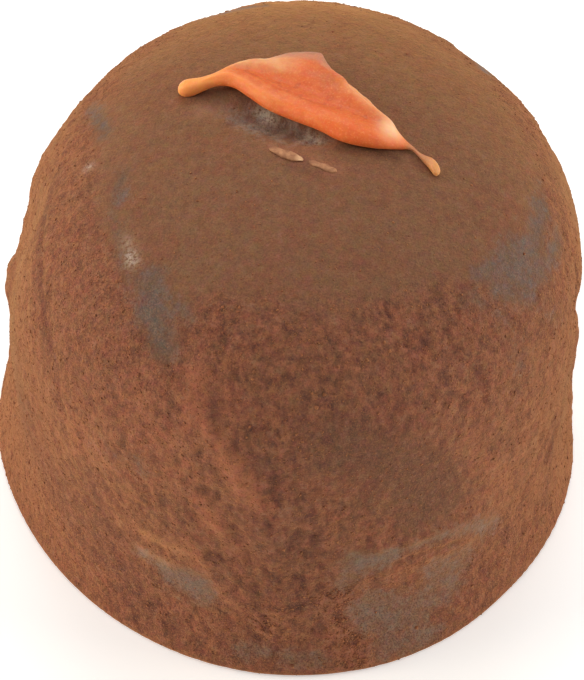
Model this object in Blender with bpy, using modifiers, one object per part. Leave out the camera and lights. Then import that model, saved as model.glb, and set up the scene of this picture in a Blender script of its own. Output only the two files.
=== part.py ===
"""A cocoa-dusted chocolate truffle with a curl of candied orange on its crown.

The truffle is a short, slightly lopsided dome that stands on its own flat foot. Its outline is turned, then
eased out of round, leaned and creased by the functions below. The curl and two slivers lie on the crown.
Everything is measured from the truffle's axis, in metres, +Z up, and hangs from one empty that brings the
middle of the footprint to the origin.
"""

import math
from typing import NamedTuple

import bmesh
import bpy
from mathutils import Matrix, Vector
from mathutils.bvhtree import BVHTree

MM = 0.001

# The truffle's turned outline
HEIGHT = 21.8 * MM
WALL_RADIUS = 14.05 * MM
FOOT_RADIUS = 14.7 * MM
FLARE_HEIGHT = 5.5 * MM
FOOT_ROUNDING = 0.4 * MM
SHOULDER_ACROSS_POWER = 0.78
SHOULDER_UP_POWER = 0.467

# How it stands: the crown sits this far towards +X of the foot
LEAN = 0.8 * MM

# Mesh fineness of the truffle
STEPS_ROUND = 84
RINGS_DOWN = 33
ROUNDING_RINGS = 3
OUTLINE_SAMPLES = 400

# Gaps that keep the separate pieces apart
RESTING_GAP = 0.25 * MM


class Waviness(NamedTuple):
    """A pattern of lobes round the truffle, as a share of its radius, at the foot and at the crown."""

    lobes: int
    foot_share: float
    foot_degrees: float
    crown_share: float
    crown_degrees: float


WAVINESS = (
    Waviness(lobes=2, foot_share=0.036, foot_degrees=-55, crown_share=0.038, crown_degrees=60),
    Waviness(lobes=3, foot_share=0.013, foot_degrees=18, crown_share=0.025, crown_degrees=-14),
)


class Crease(NamedTuple):
    """A fold (positive swell) or hollow (negative) in the wall, running straight between two places."""

    start_degrees: float
    start_height: float
    end_degrees: float
    end_height: float
    half_width: float
    swell: float


CREASES = (
    Crease(-108, 16.6 * MM, -95, 10.4 * MM, 1.1 * MM, 0.30 * MM),
    Crease(-95, 10.4 * MM, -91, 4.0 * MM, 1.0 * MM, 0.22 * MM),
    Crease(-76, 7.3 * MM, -51, 6.7 * MM, 0.8 * MM, 0.22 * MM),
    Crease(-78, 12.2 * MM, -56, 11.6 * MM, 2.8 * MM, -0.32 * MM),
    Crease(-104, 12.6 * MM, -97, 7.6 * MM, 0.7 * MM, -0.22 * MM),
    Crease(177, 17.8 * MM, 184, 13.8 * MM, 2.2 * MM, -0.45 * MM),
    Crease(176, 9.6 * MM, 190, 6.8 * MM, 1.5 * MM, -0.35 * MM),
    Crease(8, 10.4 * MM, -12, 8.4 * MM, 1.6 * MM, -0.32 * MM),
    Crease(28, 17.0 * MM, 52, 8.0 * MM, 1.3 * MM, 0.25 * MM),
    Crease(84, 15.0 * MM, 104, 5.0 * MM, 2.2 * MM, -0.28 * MM),
    Crease(128, 17.5 * MM, 141, 7.0 * MM, 1.2 * MM, 0.26 * MM),
)
FOOT_FADE = 2.5 * MM

# The shallow bare scar in the crown, under the curl's front edge
SCAR_MIDDLE = (-1.1 * MM, 0.7 * MM)
SCAR_HALF_LENGTH = 2.9 * MM
SCAR_HALF_WIDTH = 1.0 * MM
SCAR_DEPTH = 0.45 * MM
SCAR_DEGREES = -27

# The curl lies along a line from its blunt end to its pointed tip
CURL_START = (-4.75 * MM, 3.1 * MM)
CURL_DEGREES = -21.5


class Station(NamedTuple):
    """A cross-section of the curl, in millimetres: where it is, how it stands off the crown, and its shape.

    The leaf's section is a thin fold with a rolled crest in front, a valley and a raised rim behind. In the
    tail the section is round: its valley and rim are as high as its crest.
    """

    along: float
    front: float
    back: float
    underside: float
    crest: float
    valley: float
    rim: float
    turn: float = 0.0


# along, front, back, underside, crest, valley, rim, turn
CURL_STATIONS = (
    Station(-0.30, -0.50, -0.16, 0.20, 0.56, 0.56, 0.54),
    Station(-0.08, -0.76, 0.06, 0.02, 0.78, 0.78, 0.74),
    Station(0.55, -0.60, 0.16, 0.06, 0.80, 0.82, 0.76),
    Station(1.25, -0.16, 0.72, 0.36, 1.02, 1.00, 0.95),
    Station(1.95, 0.08, 1.82, 0.45, 1.20, 0.86, 1.04),
    Station(3.10, -0.24, 2.40, 0.42, 1.18, 0.76, 1.06),
    Station(4.50, -0.66, 2.62, 0.32, 1.16, 0.72, 1.14),
    Station(5.90, -0.98, 2.84, 0.20, 1.22, 0.84, 1.16),
    Station(7.30, -1.26, 2.32, 0.08, 1.28, 1.00, 1.02),
    Station(8.70, -1.30, 1.52, 0.02, 1.16, 1.00, 0.84),
    Station(9.90, -1.04, 0.72, 0.00, 0.86, 0.80, 0.60),
    Station(10.60, -0.52, 0.20, 0.02, 0.42, 0.40, 0.34),
    Station(11.00, -0.16, 0.06, 0.06, 0.26, 0.26, 0.26, -8),
    Station(11.60, -0.28, -0.07, 0.06, 0.26, 0.26, 0.26, -22),
    Station(12.10, -0.54, -0.24, 0.02, 0.31, 0.31, 0.31, -36),
    Station(12.52, -0.92, -0.50, 0.00, 0.40, 0.40, 0.40, -42),
    Station(12.72, -1.04, -0.74, 0.08, 0.32, 0.32, 0.32, -44),
)
CURL_SMOOTHING = 1


class Sliver(NamedTuple):
    """A thin shaving lying on the crown: its middle, heading, length, width and thickness."""

    name: str
    middle: tuple
    degrees: float
    length: float
    width: float
    thickness: float


SLIVERS = (
    Sliver("orange_sliver_1", (-0.17 * MM, -1.66 * MM), -26, 1.80 * MM, 0.36 * MM, 0.24 * MM),
    Sliver("orange_sliver_2", (1.48 * MM, -2.50 * MM), -24, 1.40 * MM, 0.26 * MM, 0.18 * MM),
)

COCOA = dict(color=(0.165, 0.078, 0.044, 1.0), roughness=0.95)
ORANGE = dict(color=(0.79, 0.20, 0.065, 1.0), roughness=0.42)


def clear_scene():
    for old in list(bpy.data.objects):
        bpy.data.objects.remove(old)


def make_material(name, color, roughness):
    material = bpy.data.materials.new(name)
    material.use_nodes = True
    shader = material.node_tree.nodes["Principled BSDF"]
    shader.inputs["Base Color"].default_value = color
    shader.inputs["Roughness"].default_value = roughness
    shader.inputs["Metallic"].default_value = 0.0
    return material


def add_object(name, mesh, material, collection, parent):
    """A new object with one material, in the truffle's collection and frame."""
    piece = bpy.data.objects.new(name, mesh)
    mesh.materials.append(material)
    collection.objects.link(piece)
    piece.parent = parent
    return piece


def finish_mesh(bm, name):
    """Turns a bmesh into a mesh with outward normals and smooth shading."""
    bmesh.ops.recalc_face_normals(bm, faces=bm.faces)
    mesh = bpy.data.meshes.new(name)
    bm.to_mesh(mesh)
    bm.free()
    mesh.shade_smooth()
    return mesh


# The truffle


def wall_outline():
    """Closely spaced (radius, height) points from the crown down to where the foot starts to round."""
    points = []
    for i in range(OUTLINE_SAMPLES + 1):
        angle = 0.5 * math.pi * (1 - (i / OUTLINE_SAMPLES) ** 0.5)
        radius = WALL_RADIUS * math.cos(angle) ** SHOULDER_ACROSS_POWER
        rise = (HEIGHT - FLARE_HEIGHT) * math.sin(angle) ** SHOULDER_UP_POWER
        points.append((radius if i else 0.0, FLARE_HEIGHT + rise))
    for i in range(1, OUTLINE_SAMPLES + 1):
        share = i / OUTLINE_SAMPLES
        height = FLARE_HEIGHT + (FOOT_ROUNDING - FLARE_HEIGHT) * share
        points.append((WALL_RADIUS + (FOOT_RADIUS - WALL_RADIUS) * share**2, height))
    return points


def evenly_spaced(points, count):
    """Points at equal distances along a line of closely spaced ones, with both ends kept."""
    lengths = [0.0]
    for before, after in zip(points, points[1:]):
        lengths.append(lengths[-1] + math.dist(before, after))
    chosen = []
    k = 0
    for i in range(count):
        goal = lengths[-1] * i / (count - 1)
        while k < len(lengths) - 2 and lengths[k + 1] < goal:
            k += 1
        share = (goal - lengths[k]) / (lengths[k + 1] - lengths[k])
        chosen.append(tuple(a + (b - a) * share for a, b in zip(points[k], points[k + 1])))
    return chosen


def turned_outline():
    """The whole outline, from the crown down the outer side and in along the foot to the axis."""
    points = evenly_spaced(wall_outline(), RINGS_DOWN)
    flat_radius = FOOT_RADIUS - FOOT_ROUNDING
    for i in range(1, ROUNDING_RINGS + 1):
        angle = 0.5 * math.pi * i / ROUNDING_RINGS
        radius = flat_radius + FOOT_ROUNDING * math.cos(angle)
        points.append((radius, FOOT_ROUNDING * (1 - math.sin(angle))))
    points.append((0.5 * flat_radius, 0.0))
    points.append((0.0, 0.0))
    return points


def turned_mesh():
    """The outline swept round the axis by a Screw modifier, as a closed mesh."""
    points = turned_outline()
    line = bpy.data.meshes.new("truffle_outline")
    edges = [(i, i + 1) for i in range(len(points) - 1)]
    line.from_pydata([(radius, 0.0, height) for radius, height in points], edges, [])
    outline = bpy.data.objects.new("truffle_outline", line)
    bpy.context.scene.collection.objects.link(outline)
    screw = outline.modifiers.new("Turned", "SCREW")
    screw.steps = STEPS_ROUND
    screw.render_steps = STEPS_ROUND
    screw.use_merge_vertices = True
    screw.merge_threshold = 0.00001
    evaluated = outline.evaluated_get(bpy.context.evaluated_depsgraph_get())
    mesh = bpy.data.meshes.new_from_object(evaluated)
    bpy.data.objects.remove(outline)
    return mesh


def stretch(azimuth, height_share):
    """How far out of round the truffle is, as a factor on its radius."""
    factor = 1.0
    for wave in WAVINESS:
        foot = math.cos(wave.lobes * (azimuth - math.radians(wave.foot_degrees)))
        crown = math.cos(wave.lobes * (azimuth - math.radians(wave.crown_degrees)))
        factor += wave.foot_share * foot * (1 - height_share) + wave.crown_share * crown * height_share
    return factor


def crease_swell(azimuth, height):
    """How far the wall's folds and hollows push it outwards at a place."""
    swell = 0.0
    for crease in CREASES:
        start = math.radians(crease.start_degrees)
        turn = math.radians(crease.end_degrees) - start
        away = (azimuth - start - 0.5 * turn + math.pi) % (2 * math.pi) - math.pi + 0.5 * turn
        line = Vector((turn * WALL_RADIUS, crease.end_height - crease.start_height))
        place = Vector((away * WALL_RADIUS, height - crease.start_height))
        share = min(1.0, max(0.0, place.dot(line) / line.length_squared))
        distance = (place - line * share).length / crease.half_width
        swell += crease.swell * math.exp(-(distance**2))
    return swell


def scar_depth(x, y):
    """How deep the bare scar in the crown is at a place."""
    offset = Vector((x - SCAR_MIDDLE[0], y - SCAR_MIDDLE[1]))
    turned = Matrix.Rotation(math.radians(-SCAR_DEGREES), 2) @ offset
    spread = (turned.x / SCAR_HALF_LENGTH) ** 2 + (turned.y / SCAR_HALF_WIDTH) ** 2
    return SCAR_DEPTH * math.exp(-(spread**1.5))


def shaped(place):
    """Moves a point of the turned shape to its place on the lopsided truffle."""
    radius = math.hypot(place.x, place.y)
    azimuth = math.atan2(place.y, place.x)
    share = place.z / HEIGHT
    wallness = (radius / WALL_RADIUS) ** 4 * min(1.0, place.z / FOOT_FADE)
    radius = radius * stretch(azimuth, share) + wallness * crease_swell(azimuth, place.z)
    x = radius * math.cos(azimuth) + LEAN * (share - 0.5)
    y = radius * math.sin(azimuth)
    z = place.z
    if z > 0.5 * HEIGHT:
        z -= scar_depth(x, y)
    return Vector((x, y, z))


def make_truffle(material, collection, parent):
    mesh = turned_mesh()
    bm = bmesh.new()
    bm.from_mesh(mesh)
    bpy.data.meshes.remove(mesh)
    for vertex in bm.verts:
        vertex.co = shaped(vertex.co)
    return add_object("truffle", finish_mesh(bm, "truffle"), material, collection, parent)


def footprint_middle(truffle):
    """The middle of the truffle's bounding box, seen from above."""
    xs = [vertex.co.x for vertex in truffle.data.vertices]
    ys = [vertex.co.y for vertex in truffle.data.vertices]
    return Vector((0.5 * (min(xs) + max(xs)), 0.5 * (min(ys) + max(ys)), 0.0))


class Crown:
    """The truffle's upper surface, read straight down."""

    def __init__(self, truffle):
        bm = bmesh.new()
        bm.from_mesh(truffle.data)
        self.tree = BVHTree.FromBMesh(bm)
        bm.free()

    def height(self, x, y):
        place, _, _, _ = self.tree.ray_cast(Vector((x, y, 2 * HEIGHT)), Vector((0, 0, -1)))
        return place.z


# The curl of orange


def section(station):
    """The curl's outline at a station in millimetres, (across, up), from its underside round the front."""
    width = station.back - station.front
    front, back, under = station.front, station.back, station.underside
    crest, valley, rim = station.crest, station.valley, station.rim
    lining = under + 0.35 * max(0.0, min(crest, rim) - 0.6 - under)
    return (
        (front + 0.30 * width, under),
        (front + 0.10 * width, under + 0.12 * (crest - under)),
        (front, under + 0.50 * (crest - under)),
        (front + 0.08 * width, under + 0.88 * (crest - under)),
        (front + 0.27 * width, crest),
        (front + 0.55 * width, valley),
        (front + 0.82 * width, rim),
        (back, under + 0.62 * (rim - under)),
        (front + 0.90 * width, under + 0.20 * (rim - under)),
        (front + 0.60 * width, lining),
    )


def station_points(station, crown):
    """The section's points in place on the crown."""
    heading = math.radians(CURL_DEGREES)
    along = Vector((math.cos(heading), math.sin(heading)))
    across = Vector((-along.y, along.x))
    middle = 0.5 * (station.front + station.back)
    slant = Matrix.Rotation(math.radians(station.turn), 2)
    points = []
    for reach, up in section(station):
        offset = slant @ (across * (reach - middle) * MM)
        plan = Vector(CURL_START) + along * station.along * MM + across * middle * MM + offset
        points.append(Vector((plan.x, plan.y, crown.height(plan.x, plan.y) + RESTING_GAP + up * MM)))
    return points


def make_curl(crown, material, collection, parent):
    """A cage lofted through the stations, closed at both ends and rounded by subdivision."""
    bm = bmesh.new()
    rings = [[bm.verts.new(point) for point in station_points(s, crown)] for s in CURL_STATIONS]
    for ring, following in zip(rings, rings[1:]):
        for i in range(len(ring)):
            j = (i + 1) % len(ring)
            bm.faces.new((ring[i], ring[j], following[j], following[i]))
    bm.faces.new(rings[0])
    bm.faces.new(rings[-1])
    curl = add_object("orange_curl", finish_mesh(bm, "orange_curl"), material, collection, parent)
    smoothing = curl.modifiers.new("Smoothing", "SUBSURF")
    smoothing.levels = CURL_SMOOTHING
    smoothing.render_levels = CURL_SMOOTHING
    return curl


def make_sliver(sliver, crown, material, collection, parent):
    """A flattened pod with pointed ends, bent to follow the crown."""
    bm = bmesh.new()
    bmesh.ops.create_uvsphere(bm, u_segments=10, v_segments=9, radius=0.5)
    heading = Matrix.Rotation(math.radians(sliver.degrees), 2)
    for vertex in bm.verts:
        along, across, up = vertex.co.z, vertex.co.x, vertex.co.y
        plan = Vector(sliver.middle) + heading @ Vector((along * sliver.length, across * sliver.width))
        base = crown.height(plan.x, plan.y) + RESTING_GAP
        vertex.co = Vector((plan.x, plan.y, base + (0.5 + up) * sliver.thickness))
    return add_object(sliver.name, finish_mesh(bm, sliver.name), material, collection, parent)


def main():
    clear_scene()
    collection = bpy.data.collections.new("chocolate_truffle")
    bpy.context.scene.collection.children.link(collection)
    axis = bpy.data.objects.new("truffle_axis", None)
    collection.objects.link(axis)
    cocoa = make_material("cocoa", **COCOA)
    orange = make_material("orange", **ORANGE)
    truffle = make_truffle(cocoa, collection, axis)
    crown = Crown(truffle)
    make_curl(crown, orange, collection, axis)
    for sliver in SLIVERS:
        make_sliver(sliver, crown, orange, collection, axis)
    axis.location = -footprint_middle(truffle)
    bpy.context.view_layer.update()


main()
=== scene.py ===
"""The looks of the cocoa-dusted truffle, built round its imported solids.

The body is a dense skin laid over the truffle's solid, with its crust, creases, drag marks and bare places
worked into the mesh. Thousands of loose cocoa grains lie on it. The curl and the slivers of orange are
finer versions of their solids, set down on the crown. Places on the body are given by the direction round
the axis (degrees from +X towards +Y) and the height above the foot; lengths are in millimetres until the
mesh is written.
"""

import math
from typing import NamedTuple

import bmesh
import bpy
import numpy as np
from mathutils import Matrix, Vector
from mathutils.bvhtree import BVHTree


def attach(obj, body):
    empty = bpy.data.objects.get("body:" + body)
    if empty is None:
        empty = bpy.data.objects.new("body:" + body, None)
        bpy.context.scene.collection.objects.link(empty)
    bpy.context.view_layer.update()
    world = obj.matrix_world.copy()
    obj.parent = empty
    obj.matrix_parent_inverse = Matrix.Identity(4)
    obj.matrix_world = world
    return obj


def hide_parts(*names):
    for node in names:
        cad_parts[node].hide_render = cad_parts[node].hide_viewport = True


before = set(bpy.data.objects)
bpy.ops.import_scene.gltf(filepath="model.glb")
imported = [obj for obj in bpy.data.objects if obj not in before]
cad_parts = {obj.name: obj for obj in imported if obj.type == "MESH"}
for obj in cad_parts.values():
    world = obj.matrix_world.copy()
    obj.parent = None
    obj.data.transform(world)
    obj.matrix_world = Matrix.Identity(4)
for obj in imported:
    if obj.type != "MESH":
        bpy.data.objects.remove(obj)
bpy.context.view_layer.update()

MM = 0.001


# Noise and small helpers


def smoothstep(low, high, value):
    """0 below low, 1 above high and an eased ramp between; low may be the larger of the two."""
    share = np.clip((value - low) / (high - low), 0.0, 1.0)
    return share * share * (3.0 - 2.0 * share)


def hashed(cells, seed):
    """A repeatable pseudo-random number from 0 to 1 for each row of whole numbers."""
    mixed = cells.astype(np.int64) @ np.array([73856093, 19349663, 83492791]) + seed * 668265263
    mixed = (mixed ^ (mixed >> 13)) * 1274126177 & 0x7FFFFFFF
    mixed = (mixed ^ (mixed >> 15)) * 461845907 & 0x7FFFFFFF
    return ((mixed ^ (mixed >> 12)) & 0xFFFFF) / 0xFFFFF


def value_noise(places, seed):
    """Smooth noise from -1 to 1, with one random value at each corner of a unit lattice."""
    cell = np.floor(places).astype(np.int64)
    share = places - cell
    share = share * share * share * (share * (share * 6.0 - 15.0) + 10.0)
    total = np.zeros(len(places))
    for corner in np.ndindex(2, 2, 2):
        step = np.array(corner)
        weight = np.prod(np.where(step, share, 1.0 - share), axis=1)
        total += weight * hashed(cell + step, seed)
    return 2.0 * total - 1.0


def fractal(places, size, seed, octaves=4, gain=0.5):
    """Layers of smooth noise, the coarsest with lumps of the given size."""
    total = np.zeros(len(places))
    strength = 1.0
    whole = 0.0
    for octave in range(octaves):
        total += strength * value_noise(places / size + 17.3 * octave, seed + octave)
        whole += strength
        strength *= gain
        size *= 0.5
    return total / whole


def cell_distance(places, size, seed):
    """Distance to the nearest of one random point a cell, in cells: 0 at the points, about 1 far from them."""
    scaled = places / size
    cell = np.floor(scaled).astype(np.int64)
    nearest = np.full(len(places), 9.0)
    for step in np.ndindex(3, 3, 3):
        other = cell + np.array(step) - 1
        point = other + np.stack([hashed(other, seed + k) for k in range(3)], axis=1)
        nearest = np.minimum(nearest, np.linalg.norm(scaled - point, axis=1))
    return nearest


# The body's skin

SKIN_CUTS = 124            # cuts along each edge of the cube that the skin starts as
SKIN_LEVELS = 2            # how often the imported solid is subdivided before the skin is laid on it

# How the cube's elevations (degrees) become rays: the direction, and the height on the axis they start from
RAY_FROM = (-90.0, -40.0, 45.0, 90.0)
RAY_ELEVATION = (-90.0, -14.0, 45.0, 90.0)
RAY_START = (3.0, 3.0, 11.0, 11.0)


def quads_of(node, name):
    """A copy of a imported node's mesh with its triangles paired up again."""
    bm = bmesh.new()
    bm.from_mesh(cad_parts[node].data)
    bmesh.ops.remove_doubles(bm, verts=bm.verts, dist=0.000001)
    bmesh.ops.join_triangles(
        bm, faces=bm.faces, angle_face_threshold=math.radians(50), angle_shape_threshold=math.radians(50)
    )
    for layer in list(bm.loops.layers.uv.values()):
        bm.loops.layers.uv.remove(layer)
    mesh = bpy.data.meshes.new(name)
    bm.to_mesh(mesh)
    bm.free()
    return mesh


def subdivided(mesh, levels):
    """The mesh rounded by a Subdivision Surface modifier."""
    carrier = bpy.data.objects.new(mesh.name, mesh)
    bpy.context.scene.collection.objects.link(carrier)
    rounding = carrier.modifiers.new("Rounding", "SUBSURF")
    rounding.levels = levels
    rounding.render_levels = levels
    result = bpy.data.meshes.new_from_object(carrier.evaluated_get(bpy.context.evaluated_depsgraph_get()))
    bpy.data.objects.remove(carrier)
    return result


def tree_of(mesh):
    """A search tree of a mesh for casting rays at it."""
    bm = bmesh.new()
    bm.from_mesh(mesh)
    tree = BVHTree.FromBMesh(bm)
    bm.free()
    return tree


def points_of(mesh):
    """The mesh's points in millimetres, one row each."""
    flat = np.zeros(3 * len(mesh.vertices))
    mesh.vertices.foreach_get("co", flat)
    return flat.reshape(-1, 3) / MM


def normals_of(mesh):
    flat = np.zeros(3 * len(mesh.vertices))
    mesh.vertices.foreach_get("normal", flat)
    return flat.reshape(-1, 3)


def put_points(mesh, places):
    mesh.vertices.foreach_set("co", (places * MM).ravel())
    mesh.update()


def paint(mesh, name, values):
    """Stores one number a point for the material to read."""
    mesh.attributes.new(name, "FLOAT", "POINT").data.foreach_set("value", np.asarray(values, np.float32))


def skin_mesh():
    """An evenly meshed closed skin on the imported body: a gridded cube, cast along rays from the axis."""
    solid = tree_of(subdivided(quads_of("truffle", "truffle_solid"), SKIN_LEVELS))
    bm = bmesh.new()
    bmesh.ops.create_cube(bm, size=2.0)
    bmesh.ops.subdivide_edges(bm, edges=bm.edges, cuts=SKIN_CUTS, use_grid_fill=True)
    for vertex in bm.verts:
        warped = Vector([math.tan(0.25 * math.pi * c) for c in vertex.co])
        azimuth = math.atan2(warped.y, warped.x)
        cube_elevation = math.degrees(math.atan2(warped.z, math.hypot(warped.x, warped.y)))
        elevation = math.radians(np.interp(cube_elevation, RAY_FROM, RAY_ELEVATION))
        start = Vector((0, 0, np.interp(cube_elevation, RAY_FROM, RAY_START) * MM))
        level = math.cos(elevation)
        ray = Vector((level * math.cos(azimuth), level * math.sin(azimuth), math.sin(elevation)))
        vertex.co = solid.ray_cast(start, ray)[0]
    mesh = bpy.data.meshes.new("cocoa_body")
    bm.to_mesh(mesh)
    bm.free()
    mesh.shade_smooth()
    return mesh


class Places:
    """The skin's points with what the relief and the colours ask of them."""

    def __init__(self, mesh):
        self.xyz = points_of(mesh)
        self.normals = normals_of(mesh)
        self.degrees = np.degrees(np.arctan2(self.xyz[:, 1], self.xyz[:, 0]))
        self.height = self.xyz[:, 2]
        self.upright = smoothstep(0.35, 0.95, 1.0 - np.abs(self.normals[:, 2]))
        self.off_foot = smoothstep(0.0, 1.2, self.height)
        self.underneath = np.where(self.normals[:, 2] < -0.5, 100.0, 0.0)

    def spot(self, degrees, height):
        """The skin's point nearest to a direction and a height."""
        aside = np.abs((self.degrees - degrees + 180.0) % 360.0 - 180.0)
        return self.xyz[np.argmin(0.2 * aside + np.abs(self.height - height) + self.underneath)]

    def beside(self, line):
        """The distance in millimetres to a line laid on the skin through (degrees, height) places, and how far
        along the line the nearest place is, from 0 to 1."""
        stops = []
        for (degrees, height), (next_degrees, next_height) in zip(line, line[1:]):
            turn = (next_degrees - degrees + 180.0) % 360.0 - 180.0
            for share in (0.0, 0.25, 0.5, 0.75):
                stops.append(self.spot(degrees + share * turn, height + share * (next_height - height)))
        stops.append(self.spot(*line[-1]))
        return to_line(self.xyz, stops)

    def beside_on_top(self, line):
        """The same for a line through (x, y) places on the crown."""
        distance, share = to_line(self.xyz[:, :2], line)
        return distance + 100.0 * smoothstep(18.5, 17.5, self.height), share


def to_line(points, stops):
    """The distance from each point to a line through stops, and the share of the way along it."""
    distance = np.full(len(points), np.inf)
    along = np.zeros(len(points))
    for number, (start, end) in enumerate(zip(stops, stops[1:])):
        step = np.subtract(end, start)
        share = np.clip((points - start) @ step / (step @ step + 1e-9), 0.0, 1.0)
        away = np.linalg.norm(points - start - share[:, None] * step, axis=1)
        nearer = away < distance
        distance = np.where(nearer, away, distance)
        along = np.where(nearer, (number + share) / (len(stops) - 1), along)
    return distance, along


class Patch(NamedTuple):
    """A stretch of the surface along a line of (degrees, height) places, as wide to each side as given at its ends."""

    line: tuple
    start_width: float
    end_width: float
    strength: float


BARE_PLACES = (
    Patch(((-128, 20.0), (-122, 19.4)), 0.75, 0.80, 1.00),
    Patch(((-122, 19.4), (-117, 18.6)), 0.80, 0.55, 1.00),
    Patch(((-123, 19.9), (-113, 19.7)), 0.35, 0.25, 0.75),
    Patch(((-167, 20.7), (-157, 20.5)), 0.30, 0.42, 0.80),
    Patch(((-153, 20.4), (-138, 20.0)), 0.30, 0.40, 0.55),
    Patch(((-138, 20.0), (-132, 19.6)), 0.35, 0.40, 0.60),
    Patch(((155, 19.1), (163, 19.8), (170, 20.1)), 0.50, 0.45, 0.85),
    Patch(((-37, 19.3), (-31, 18.9), (-25, 18.6)), 0.40, 1.10, 1.00),
    Patch(((-25, 18.6), (-19, 18.4), (-9, 18.6)), 0.90, 0.55, 1.00),
    Patch(((-9, 18.6), (-3, 18.8)), 0.50, 0.30, 0.60),
    Patch(((-34, 18.4), (-28, 17.2)), 0.75, 0.60, 0.85),
    Patch(((-28, 17.9), (-20, 17.4), (-12, 17.4)), 0.95, 0.60, 0.90),
    Patch(((-26, 16.4), (-22, 15.0)), 0.70, 0.60, 0.45),
    Patch(((-42, 18.9), (-40, 18.4)), 0.40, 0.40, 0.65),
    Patch(((-38, 17.8), (-36, 17.0)), 0.35, 0.30, 0.55),
    Patch(((-37, 16.2), (-37, 14.6)), 0.50, 0.45, 0.45),
    Patch(((-131, 11.8), (-124, 12.1)), 0.70, 0.70, 0.35),
    Patch(((-119, 13.0), (-117, 12.2)), 0.35, 0.35, 0.55),
    Patch(((-119, 6.2), (-114, 5.9)), 0.32, 0.45, 1.00),
    Patch(((-114, 5.8), (-110, 5.4)), 0.50, 0.95, 1.00),
    Patch(((-110, 5.4), (-106, 5.0)), 0.95, 0.95, 1.00),
    Patch(((-79, 5.7), (-77, 6.6)), 0.45, 0.55, 0.85),
    Patch(((-76, 7.2), (-69, 7.3)), 0.90, 0.50, 1.00),
    Patch(((-69, 7.3), (-58, 7.3), (-52, 6.8)), 0.32, 0.40, 0.75),
    Patch(((-51, 6.6), (-46, 5.5)), 0.50, 0.60, 0.85),
    Patch(((-74, 3.7), (-66, 2.7)), 1.25, 1.60, 0.86),
    Patch(((-66, 2.7), (-58, 3.6)), 1.50, 1.30, 0.72),
    Patch(((-59, 4.6), (-53, 4.6)), 1.15, 0.95, 0.78),
    Patch(((-70, 1.5), (-62, 1.1)), 0.90, 0.80, 0.80),
    Patch(((-97, 1.7), (-94, 1.5)), 0.55, 0.45, 0.75),
    Patch(((-89, 1.4), (-84, 1.2)), 0.50, 0.50, 0.75),
    Patch(((36, 18.8), (44, 18.0), (47, 17.0)), 0.60, 0.90, 0.95),
    Patch(((70, 11.0), (80, 9.5)), 0.50, 0.80, 0.65),
    Patch(((96, 19.6), (110, 19.2)), 0.45, 0.70, 0.85),
    Patch(((118, 5.4), (132, 4.4)), 0.80, 0.50, 0.80),
    Patch(((150, 12.6), (156, 10.4)), 0.50, 0.70, 0.60),
    Patch(((14, 5.2), (26, 6.6)), 0.50, 0.70, 0.75),
)

SMOOTH_PLACES = (
    Patch(((-78, 14.6), (-66, 12.4), (-60, 10.2)), 1.70, 1.90, 0.85),
    Patch(((-176, 16.5), (-166, 12.0), (-160, 8.5)), 1.60, 1.40, 0.80),
    Patch(((-14, 9.5), (-20, 5.5)), 1.10, 1.00, 0.80),
    Patch(((6, 17.5), (2, 12.0), (-2, 8.0)), 1.20, 1.60, 0.70),
    Patch(((85, 15.0), (88, 9.0)), 1.60, 1.80, 0.75),
    Patch(((136, 14.0), (128, 9.0)), 1.30, 1.60, 0.70),
)

CLUSTERS = (
    Patch(((-81, 5.0), (-79, 3.9), (-78, 2.8), (-77, 1.2)), 0.55, 0.80, 1.00),
    Patch(((-91, 4.2), (-93, 3.2)), 0.40, 0.50, 0.80),
    Patch(((24, 3.6), (30, 2.4)), 0.60, 0.70, 0.80),
    Patch(((104, 3.0), (112, 2.2)), 0.60, 0.70, 0.80),
)


# Raised places painted paler and more even, with fewer pits.
RIDGES = (
    Patch(((-108, 18.0), (-107, 16.6), (-103, 15.8), (-100, 14.5)), 0.40, 0.48, 0.90),
    Patch(((-100, 14.5), (-97, 13.0), (-95, 12.0)), 0.46, 0.42, 1.00),
    Patch(((-103, 18.2), (-101, 16.8)), 0.55, 0.50, 0.55),
    Patch(((-106, 11.7), (-102, 9.9)), 0.40, 0.36, 0.85),
    Patch(((-119, 16.4), (-110, 13.4)), 1.10, 1.10, 0.35),
    Patch(((-132, 11.9), (-126, 12.1)), 0.70, 0.60, 0.55),
    Patch(((-108, 8.0), (-104, 6.4), (-99, 4.0)), 0.40, 0.40, 0.55),
    Patch(((-99, 9.0), (-98, 7.6)), 0.30, 0.35, 0.50),
    Patch(((-52, 12.4), (-44, 8.4)), 0.50, 0.60, 0.35),
    Patch(((58, 13.0), (66, 7.5)), 0.50, 0.60, 0.60),
    Patch(((126, 15.0), (137, 8.4)), 0.50, 0.60, 0.60),
)


class Fold(NamedTuple):
    """A raised (positive) or sunken line in the crust through (degrees, height) places."""

    line: tuple
    width: float
    rise: float


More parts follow.
